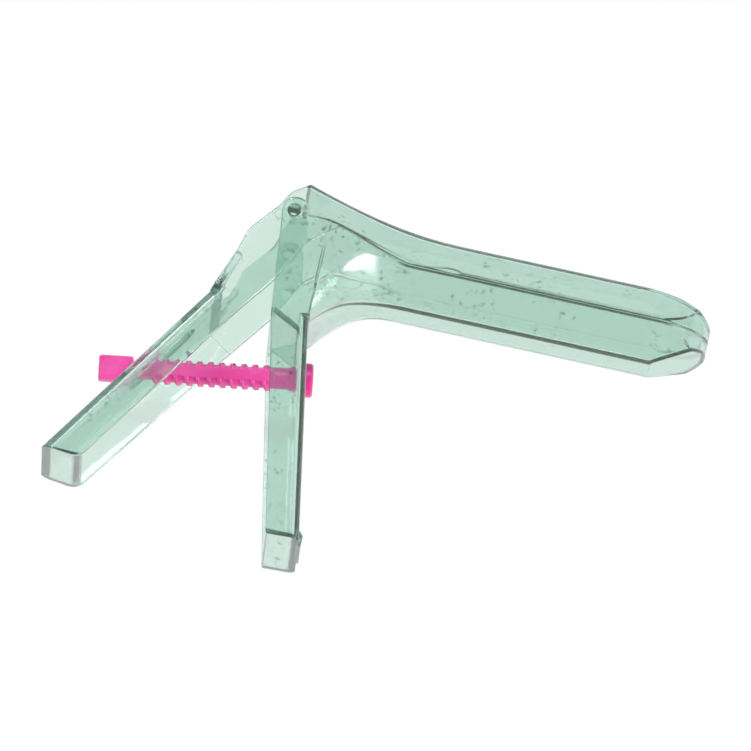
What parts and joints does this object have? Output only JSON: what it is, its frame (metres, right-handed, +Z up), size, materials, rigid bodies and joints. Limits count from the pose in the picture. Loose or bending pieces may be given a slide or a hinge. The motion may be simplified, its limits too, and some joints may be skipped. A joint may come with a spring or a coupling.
{
  "type": "bivalve speculum",
  "caption": "Hinged two-blade speculum with channel handles, a funnel mouth and a locking screw that holds the blades open.",
  "frame": {"origin": "where the hinge line meets the resting plane, with the instrument lying on its side", "axes": "+Z up along the hinge line, +X along the closed blades to their tip, +Y towards the upper blade"},
  "size_m": [0.1492, 0.0889, 0.038],
  "materials": {
    "clear_moulding": "clear polystyrene with a pale mint tint",
    "pink_screw": "bright pink moulded plastic"
  },
  "bodies": {
    "lower": {"lower_valve": "clear_moulding"},
    "upper": {"upper_valve": "clear_moulding"},
    "screw": {"locking_screw": "pink_screw"}
  },
  "joints": [
    {"name": "valve_hinge", "type": "hinge", "parent": "lower", "child": "upper", "pos_m": [0, 0, 0.019], "axis": [0, 0, 1], "range_deg": [0, 28]},
    {"name": "screw_turn", "type": "hinge", "parent": "lower", "child": "screw", "pos_m": [0.01006, -0.03543, 0.019], "axis": [0.9869, 0.1616, 0], "range_deg": [0, 90]}
  ]
}
